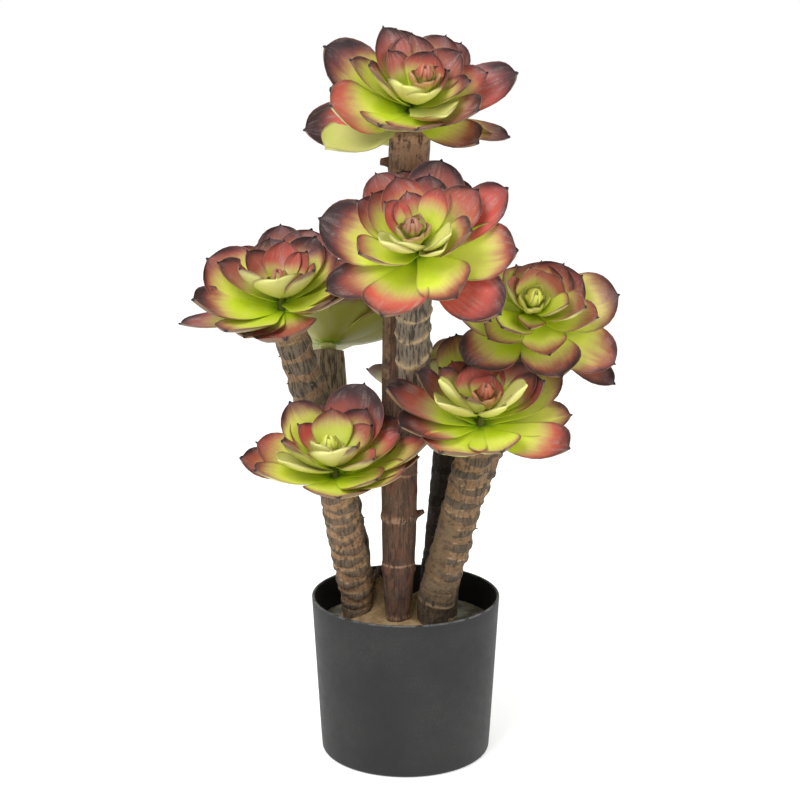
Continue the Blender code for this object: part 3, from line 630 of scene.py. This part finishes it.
# height of a leaf scar, its bulge and its sag at the front, roughness and reeds, all in metres, then looks
barkTitles = ("scar", "bulge", "sag", "rough", "reeds", "grain", "band", "dark", "recess", "lip", "warm")
barkLooks = named(barkTitles, {
    "smooth": (0.005, 0.0008, 0.001, 0.00025, 0, 0.75, (0.138, 0.078, 0.052), (0.05, 0.032, 0.025),
        (0.25, 0.15, 0.085), (0.48, 0.285, 0.18), (0.2, 0.088, 0.054)),
    "ringed": (0.008, 0.0016, 0.002, 0.0008, 0, 0.7, (0.11, 0.08, 0.054), (0.03, 0.024, 0.019),
        (0.285, 0.165, 0.08), (0.48, 0.32, 0.18), (0.155, 0.1, 0.06)),
    "cracked": (0.0132, 0.0012, 0.002, 0.0009, 0, 0.9, (0.185, 0.143, 0.105), (0.036, 0.029, 0.023),
        (0.37, 0.22, 0.125), (0.5, 0.34, 0.21), (0.23, 0.16, 0.105)),
    # painted shade: the rear-right trunk stands in shade, so its bark is painted near-black
    "dark": (0.01, 0.0006, 0.001, 0.0006, 0, 0.7, (0.028, 0.024, 0.022), (0.012, 0.01, 0.01),
        (0.06, 0.048, 0.04), (0.11, 0.085, 0.065), (0.04, 0.03, 0.026)),
    "reed": (0.005, 0, 0, 0.0003, 0.0008, 0.9, (0.33, 0.25, 0.165), (0.07, 0.052, 0.037),
        (0.28, 0.2, 0.125), (0.34, 0.26, 0.16), (0.36, 0.26, 0.165)),
    "grey": (0.005, 0, 0, 0.0008, 0, 0.9, (0.255, 0.205, 0.155), (0.045, 0.038, 0.031),
        (0.3, 0.21, 0.13), (0.52, 0.37, 0.22), (0.23, 0.18, 0.13)),
})
barkLooks["sandy"] = dict(barkLooks["ringed"], band=(0.16, 0.112, 0.074), recess=(0.42, 0.24, 0.118),
                          warm=(0.22, 0.138, 0.082), dark=(0.044, 0.033, 0.025))
trunkSet = {"around": 48, "step": 0.0009, "soilTop": 0.104, "sunk": 0.006, "wobble": 0.0012, "grit": 0.0006,
            "coat": (0.185, 0.12, 0.066), "coatDark": (0.095, 0.062, 0.036), "dust": (0.42, 0.34, 0.25)}
barkMarks = ("recess", "lip", "coat")


def makeBark(lookName):
    look = barkLooks[lookName]
    material, tree, shader = startMaterial("bark_" + lookName, 0.82, 0.25)
    straight = markOf(tree, "straight", "Vector")
    recess, lip, coat = (markOf(tree, title) for title in barkMarks)
    streaks, pits = put(tree, "Group", {"Vector": straight}, node_tree=grainGroup).outputs
    patches = noiseAt(straight, 70.0, 4.0, 0.6)
    rag = times(minus(pits, 0.5), 1.1)
    colour = blend(fade(patches, 0.42, 0.66, 0.8), look["band"], look["warm"])
    lines = fade(streaks, 0.55, 0.4, look["grain"])
    colour = blend(lines, colour, look["dark"])
    # the rough recess between two scars, darkest in its pits
    rough = blend(fade(pits, 0.54, 0.4, 0.75), look["recess"], look["warm"])
    rough = blend(fade(pits, 0.42, 0.32, 0.9), rough, look["dark"])
    rough = blend(times(lines, 0.5), rough, look["dark"])
    ragged = plus(recess, times(rag, 0.6))
    colour = blend(fade(ragged, 0.42, 0.62, 0.9), colour, rough)
    # a thin painted shadow line where a scar stands over its recess
    ledgeShadow = times(fade(ragged, 0.36, 0.5), fade(ragged, 0.72, 0.56, 0.75))
    colour = blend(ledgeShadow, colour, look["dark"])
    # pale lips and rings in ragged streaks, partly the bark's own tan and partly a painted highlight
    lipStreaks = plus(plus(patches, rag), times(minus(streaks, 0.5), 0.9))
    colour = blend(times(times(lip, fade(lipStreaks, 0.3, 0.62)), 0.95, True), colour, look["lip"])
    # clay smeared over the bark
    clay = blend(fade(pits, 0.52, 0.4, 0.8), trunkSet["coat"], trunkSet["coatDark"])
    blotch = plus(minus(patches, 0.5), times(rag, 0.6))
    colour = blend(fade(plus(coat, blotch), 0.3, 0.62, 0.9), colour, clay)
    colour = blend(placeDust(straight, 45.0, 800.0, 0.22), colour, trunkSet["dust"])
    feed(shader.inputs["Base Color"], colour)
    addBump(shader, plus(times(streaks, 0.8), pits), 1.0, 0.0022)
    return material


def smoothCourse(knots, steps):
    knots = [knots[0] * 2 - knots[1]] + knots + [knots[-1] * 2 - knots[-2]]
    course = []
    for i in range(1, len(knots) - 2):
        a, b, c, d = knots[i - 1:i + 3]
        for k in range(steps):
            t = k / steps
            course.append(0.5 * ((b * 2) + (c - a) * t + (a * 2 - b * 5 + c * 4 - d) * t * t
                                 + (b * 3 - a - c * 3 + d) * t * t * t))
    course.append(knots[-2])
    return course


def placeAt(course, lengths, goal):
    index = 0
    while index < len(course) - 2 and lengths[index + 1] < goal:
        index += 1
    t = (goal - lengths[index]) / (lengths[index + 1] - lengths[index])
    return course[index].lerp(course[index + 1], t), (course[index + 1].xyz - course[index].xyz).normalized()


def scarAt(turn, goal, scars, look, rag):
    # 1 on the back of a crescent scar, falling to 0 in the recess between two
    best = 0.0
    for mark, phase in scars:
        if abs(goal - mark) < 0.012:
            lobe = abs(math.cos(turn - phase))
            half = 0.5 * look["scar"] * (0.35 + 0.65 * lobe)
            off = (goal - mark + look["sag"] * lobe * lobe + rag) / half
            if abs(off) < 1:
                best = max(best, math.sqrt(1 - off * off) * (0.5 + 0.5 * lobe))
    return best


def spotAt(turn, front, spots):
    # how far a spot lies inside rubbed or coated patches
    best = 0.0
    for centre, height, wide, tall, share in spots:
        off = (math.degrees(turn) - centre + 180) % 360 - 180
        share *= smooth(1.35, 0.55, abs(off) / wide) * smooth(1.2, 0.6, abs(front - height) / tall)
        best = max(best, share)
    return best


def barkRelief(turn, goal, front, plan, look, scars, rag):
    # height over the plain trunk, and the recess, lip and coat masks
    back = scarAt(turn, goal, scars, look, rag) if scars and goal > scars[0][0] - 0.006 else 1.0
    relief = look["bulge"] * back + look["reeds"] * (abs(math.sin(3.5 * turn)) - 0.6)
    recess = 1 - smooth(0.1, 0.55, back)
    # the pale lip along each scar's edge: partly the bark's own tan and partly a painted highlight
    lip = math.exp(-((back - 0.32) / 0.13) ** 2)
    for height, half, rise, light, *tilt in plan.get("rings", ()):
        sag, lean = tilt or (0.0, 0.0)
        off = (front + sag * max(0.0, -math.sin(turn)) - lean * math.cos(turn) - height + 0.5 * rag) / half
        if abs(off) < 3:
            bump = math.exp(-off * off)
            relief += rise * bump
            lip = max(lip, light * bump)
    recess = max(recess, spotAt(turn, front, plan.get("rubs", ())))
    coat = spotAt(turn, front, plan.get("coats", ()))
    return relief * (1 - 0.7 * coat), recess, lip * (1 - coat), coat


def addShard(shape, root, point, length, thick, chance, blunt=0.15):
    # a torn flake or a cut stub that stands out of the bark, from a cone
    cone = bmesh.ops.create_cone(shape, cap_ends=True, segments=9, radius1=thick, radius2=thick * blunt,
                                 depth=length)
    turned = Vector(point).to_track_quat("Z", "Y")
    layers = [shape.verts.layers.float[title] for title in barkMarks]
    straightLayer = shape.verts.layers.float_vector["straight"]
    flat = 0.55 if blunt < 0.5 else 1.0
    for vertex in cone["verts"]:
        x, y, z = vertex.co
        wild = 1 + 0.25 * chance.uniform(-1, 1)
        vertex.co = root + turned @ Vector((x * wild, y * flat * wild, z + 0.3 * length))
        vertex[straightLayer] = vertex.co.copy()
        for layer, value in zip(layers, (0.25, 0.3 * chance.random(), 0.0)):
            vertex[layer] = value


def buildTrunk(name, plan, material, seed):
    look = barkLooks[plan["look"]]
    chance = random.Random(seed)
    head = headPlan[plan["head"]]
    seat, axis = Vector(head["seat"]), headAxes(head)[2]
    lean = ((seat - Vector(plan["points"][-1][:3])).normalized() + axis).normalized()
    end = seat - lean * (leafSet["coreNeck"] - leafSet["coreSunk"])
    course = smoothCourse([Vector(point) for point in plan["points"] + [(*end, plan["topRadius"])]], 12)
    lengths = [0.0]
    for a, b in zip(course, course[1:]):
        lengths.append(lengths[-1] + (b.xyz - a.xyz).length)
    total = lengths[-1]
    # the mesh starts a little under the filler's top, and a branch at its own start
    foot = max(0.0, trunkSet["soilTop"] - plan["points"][0][2] - trunkSet["sunk"])
    count, low, high = plan["scars"]
    scars = []
    for i in range(count):
        share = low + (high - low) * i / (count - 1)
        swing = (0.5 if i % 2 else -0.5) + chance.uniform(-0.3, 0.3)
        scars.append((share * total + chance.uniform(-0.0008, 0.0008), 0.5 * math.pi + swing))
    rows = int((total - foot) / trunkSet["step"])
    shape = bmesh.new()
    straightLayer = shape.verts.layers.float_vector.new("straight")
    layers = [shape.verts.layers.float.new(title) for title in barkMarks]
    bmesh.ops.create_grid(shape, x_segments=trunkSet["around"], y_segments=rows, size=1.0)
    shift = Vector((seed * 3.1, seed * 1.7, 0))
    levels = {}
    for vertex in shape.verts:
        turn = math.pi * (vertex.co.x + 1)
        level = round(0.5 * (vertex.co.y + 1) * rows)
        goal = foot + (total - foot) * level / rows
        if level not in levels:
            place, direction = placeAt(course, lengths, goal)
            direction = direction.lerp(lean, smooth(total - 0.012, total, goal)).normalized()
            side, back = sideAxes(direction)
            levels[level] = place, side, back, place.z - back.z * place[3]
        place, side, back, front = levels[level]
        flat = Vector((math.cos(turn) * 0.013, math.sin(turn) * 0.013, goal))
        coarse = noise.noise((flat + shift) * 90.0)
        fine = noise.noise((Vector((flat.x, flat.y, flat.z * 0.25)) + shift) * 420.0)
        rag = trunkSet["wobble"] * coarse + trunkSet["grit"] * fine
        relief, *marks = barkRelief(turn, goal, front, plan, look, scars, rag)
        radius = place[3] + relief + look["rough"] * (1.3 * coarse + 0.7 * fine)
        vertex.co = place.xyz + (side * math.cos(turn) + back * math.sin(turn)) * radius
        vertex[straightLayer] = flat + shift * 0.01
        for layer, value in zip(layers, marks):
            vertex[layer] = value
    bmesh.ops.remove_doubles(shape, verts=shape.verts[:], dist=0.00001)
    bmesh.ops.holes_fill(shape, edges=[edge for edge in shape.edges if edge.is_boundary], sides=0)
    for _ in range(plan.get("torn", 0)):
        goal = chance.uniform(low, 0.97) * total
        place, direction = placeAt(course, lengths, goal)
        turn = chance.uniform(0, 2 * math.pi)
        side, back = sideAxes(direction)
        outward = side * math.cos(turn) + back * math.sin(turn)
        root = place.xyz + outward * (place[3] + 0.0002)
        point = direction * chance.uniform(-0.6, 1.0) + outward * chance.uniform(0.5, 1.0)
        addShard(shape, root, point, chance.uniform(0.002, 0.0038), chance.uniform(0.001, 0.0018), chance)
    for root, point, length, thick, blunt in plan.get("shards", ()):
        addShard(shape, Vector(root), Vector(point), length, thick, chance, blunt)
    faceOut(shape)
    addPiece(name + "_bark", shape, material, name)


barkSkins = {lookName: makeBark(lookName) for lookName in barkLooks}
for seed, (trunkName, plan) in enumerate(trunkPlan.items()):
    buildTrunk(trunkName, plan, barkSkins[plan["look"]], seed + 3)
print("trunks built:", len(trunkPlan))


# Pot.
potSet = {"height": 0.129, "rimRadius": 0.075, "footRadius": 0.0677, "wall": 0.0022, "floor": 0.003,
          "around": 160, "footRound": 0.003, "wallFrom": 0.0035, "rimFlat": 0.8,
          "plastic": (0.0115, 0.0115, 0.012), "worn": (0.02, 0.02, 0.02), "rimPale": (0.2, 0.2, 0.2),
          "dust": (0.075, 0.072, 0.068)}


def makePotPlastic():
    material, tree, shader = startMaterial("potPlastic", 0.58, 0.35)
    place = objectPlace(tree)
    colour = blend(fade(noiseAt(place, 14.0), 0.35, 0.7, 0.35), potSet["plastic"], potSet["worn"])
    height = put(tree, "SeparateXYZ", {0: place}).outputs["Z"]
    rough = noiseAt(place, 120.0, 4.0, 0.7)
    # the top of the rim paler in broken patches
    rimTopPale = fade(height, potSet["height"] - 0.0016, potSet["height"] - 0.0002, 0.55)
    colour = blend(times(rimTopPale, fade(rough, 0.36, 0.6)), colour, potSet["rimPale"])
    colour = blend(placeDust(place, 18.0, 700.0, 0.22), colour, potSet["dust"])
    feed(shader.inputs["Base Color"], colour)
    feed(shader.inputs["Roughness"], plus(times(rough, 0.25), 0.44))
    addBump(shader, noiseAt(place, 700.0, 3.0, 0.6), 0.1, 0.0004)
    return material


def potWallRadius(height):
    return potSet["footRadius"] + (potSet["rimRadius"] - potSet["footRadius"]) * height / potSet["height"]


def spinProfile(points, around):
    # a closed turned body, from a profile that starts and ends on the axis
    shape = bmesh.new()
    line = [shape.verts.new((radius, 0, height)) for radius, height in points]
    for a, b in zip(line, line[1:]):
        shape.edges.new((a, b))
    bmesh.ops.spin(shape, geom=shape.verts[:] + shape.edges[:], cent=(0, 0, 0), axis=(0, 0, 1),
                   angle=2 * math.pi, steps=around, use_merge=True)
    bmesh.ops.remove_doubles(shape, verts=shape.verts[:], dist=0.00001)
    faceOut(shape)
    return shape


def buildPot():
    top, wall, floor, foot = (potSet[title] for title in ("height", "wall", "floor", "footRadius"))
    bend, half = potSet["footRound"], wall / 2
    points = [(0.0, 0.0), (foot * 0.5, 0.0), (foot - bend, 0.0)]
    for step in range(1, 7):  # rounded foot
        turn = math.radians(15 * step)
        points.append((foot - bend + bend * math.sin(turn), bend - bend * math.cos(turn)))
    for step in range(1, 12):
        height = potSet["wallFrom"] + (top - 0.005) * step / 12
        points.append((potWallRadius(height), height))
    rim, drop = potSet["rimRadius"] - half, half * potSet["rimFlat"]
    for step in range(9):  # rounded rim
        turn = math.radians(180 * step / 8)
        points.append((rim + half * math.cos(turn), top - drop + drop * math.sin(turn)))
    for step in range(1, 10):
        height = top - 0.002 - (top - 0.002 - floor) * step / 9
        points.append((potWallRadius(height) - wall, height))
    points += [(foot * 0.4, floor), (0.0, floor)]
    addPiece("pot_body", spinProfile(points, potSet["around"]), makePotPlastic(), "pot")


buildPot()
print("pot built")


# Soil and clay.
fillSet = {"top": trunkSet["soilTop"], "bottom": 0.0035, "gap": 0.0004, "bump": 0.0007,
           "ground": (0.32, 0.312, 0.27), "dark": (0.13, 0.126, 0.105), "light": (0.4, 0.385, 0.33)}
claySet = {"centre": (-0.008, 0.012), "radius": 0.046, "rise": 0.009, "edge": 0.0018,
           "lumps": ((-0.0225, 0.0175, 0.026, 0.0085), (0.01, 0.006, 0.015, 0.008),
                     (-0.036, 0.04, 0.01, 0.016)),
           "waves": ((0.05, 3, 0.6), (0.035, 5, 2.0), (0.02, 11, 0.0)),
           "rough": ((0.0011, 110), (0.0006, 380)),
           "ground": (0.46, 0.31, 0.165), "dark": (0.27, 0.175, 0.09), "light": (0.6, 0.45, 0.27)}


def makeFill(name, looks, scale):
    ground, dark, light = looks["ground"], looks["dark"], looks["light"]
    material, tree, shader = startMaterial(name, 0.95, 0.15)
    place = objectPlace(tree)
    broad = noiseAt(place, scale, 4.0, 0.6)
    grit = noiseAt(place, scale * 12, 4.0, 0.7)
    colour = blend(fade(broad, 0.4, 0.62), dark, ground)
    colour = blend(fade(grit, 0.52, 0.7, 0.7), colour, light)
    colour = blend(fade(grit, 0.42, 0.3, 0.8), colour, dark)
    colour = blend(placeDust(place, 60.0, 1500.0, 0.3), colour, light)
    feed(shader.inputs["Base Color"], colour)
    addBump(shader, plus(grit, broad), 0.8, 0.0015)
    return material


def buildSoil():
    top, bottom = fillSet["top"], fillSet["bottom"]
    wide, narrow = (potWallRadius(height) - potSet["wall"] - fillSet["gap"] for height in (top, bottom))
    points = [(0.0, bottom), (narrow, bottom), (wide, top)]
    points += [(wide * (1 - step / 30), top) for step in range(1, 31)]
    shape = spinProfile(points, 110)
    for vertex in shape.verts:
        if vertex.co.z > top - 0.001:
            crumbs = noise.noise(vertex.co * 120) + 0.7 * noise.noise(vertex.co * 420)
            vertex.co.z += fillSet["bump"] * crumbs
    material = makeFill("soilFill", fillSet, 55.0)
    addPiece("soil_fill", shape, material, "soil")


def moundHeight(x, y, share):
    height = claySet["edge"] * (1 - share ** 8) + claySet["rise"] * (1 - share * share)
    for lumpX, lumpY, rise, spread in claySet["lumps"]:
        away = ((x - lumpX) ** 2 + (y - lumpY) ** 2) / (spread * spread)
        height += rise * math.exp(-away) * (1 - share ** 6)
    return height


def buildClay():
    # a flat disc with its top at 1, drawn out to the mound
    points = [(0.0, -0.002), (0.5, -0.002), (1.0, -0.002)] + [(1 - step / 32, 1.0) for step in range(33)]
    shape = spinProfile(points, 96)
    for vertex in shape.verts:
        share = math.hypot(vertex.co.x, vertex.co.y)
        turn = math.atan2(vertex.co.y, vertex.co.x)
        reach = claySet["radius"] * share
        reach *= 1 + sum(deep * math.sin(count * turn + phase) for deep, count, phase in claySet["waves"])
        x = claySet["centre"][0] + reach * math.cos(turn)
        y = claySet["centre"][1] + reach * math.sin(turn)
        z = fillSet["top"]
        if vertex.co.z > 0.5:
            z += moundHeight(x, y, share)
            z += sum(depth * noise.noise(Vector((x, y, z)) * scale) for depth, scale in claySet["rough"])
        else:
            z -= 0.002
        vertex.co = (x, y, z)
    faceOut(shape)
    material = makeFill("clayFill", claySet, 90.0)
    addPiece("clay_fill", shape, material, "clay_mound")


buildSoil()
buildClay()
print("soil and clay built")


# Floor and light.
stageSet = {"floorSize": 6.0, "floor": (0.9, 0.9, 0.9), "white": (1.0, 1.0, 1.0), "glow": 0.45, "sky": 0.62,
            "drop": 0.0002, "aim": (0, 0, 0.3)}
# each lamp: place, size and power
lampSet = {"keyLamp": ((-0.9, -1.3, 1.9), 1.2, 34.0), "fillLamp": ((1.4, -1.2, 1.0), 1.4, 12.0)}


def buildStage():
    floor = bmesh.new()
    bmesh.ops.create_grid(floor, x_segments=1, y_segments=1, size=stageSet["floorSize"])
    mesh = keepMesh("floor", floor)
    material, _, shader = startMaterial("floorWhite", 0.9, 0.0)
    for title, value in (("Base Color", "floor"), ("Emission Color", "white"), ("Emission Strength", "glow")):
        feed(shader.inputs[title], stageSet[value])
    mesh.materials.append(material)
    item = addObject("floor", mesh)
    item.location.z = -stageSet["drop"]


def addLamp(name, place, size, power):
    lamp = bpy.data.lights.new(name, "AREA")
    lamp.size = size
    lamp.energy = power
    item = addObject(name, lamp)
    item.location = place
    item.rotation_euler = (Vector(stageSet["aim"]) - Vector(place)).to_track_quat("-Z", "Y").to_euler()


def buildLight():
    world = bpy.data.worlds.new("studio")
    scene.world = world
    world.use_nodes = True
    tree, white = world.node_tree, stageSet["white"]
    soft = tree.nodes["Background"]
    feed(soft.inputs["Color"], white)
    feed(soft.inputs["Strength"], stageSet["sky"])
    # the camera sees a white backdrop, and the plant is lit by a softer one
    backdrop = put(tree, "Background", {"Color": white, "Strength": 1.0})
    seenByCamera = put(tree, "LightPath").outputs["Is Camera Ray"]
    mixed = put(tree, "MixShader", {0: seenByCamera, 1: soft.outputs[0], 2: backdrop.outputs[0]})
    feed(tree.nodes["World Output"].inputs["Surface"], mixed.outputs[0])
    for name, plan in lampSet.items():
        addLamp(name, *plan)
    scene.view_settings.view_transform = "Standard"


buildStage()
buildLight()
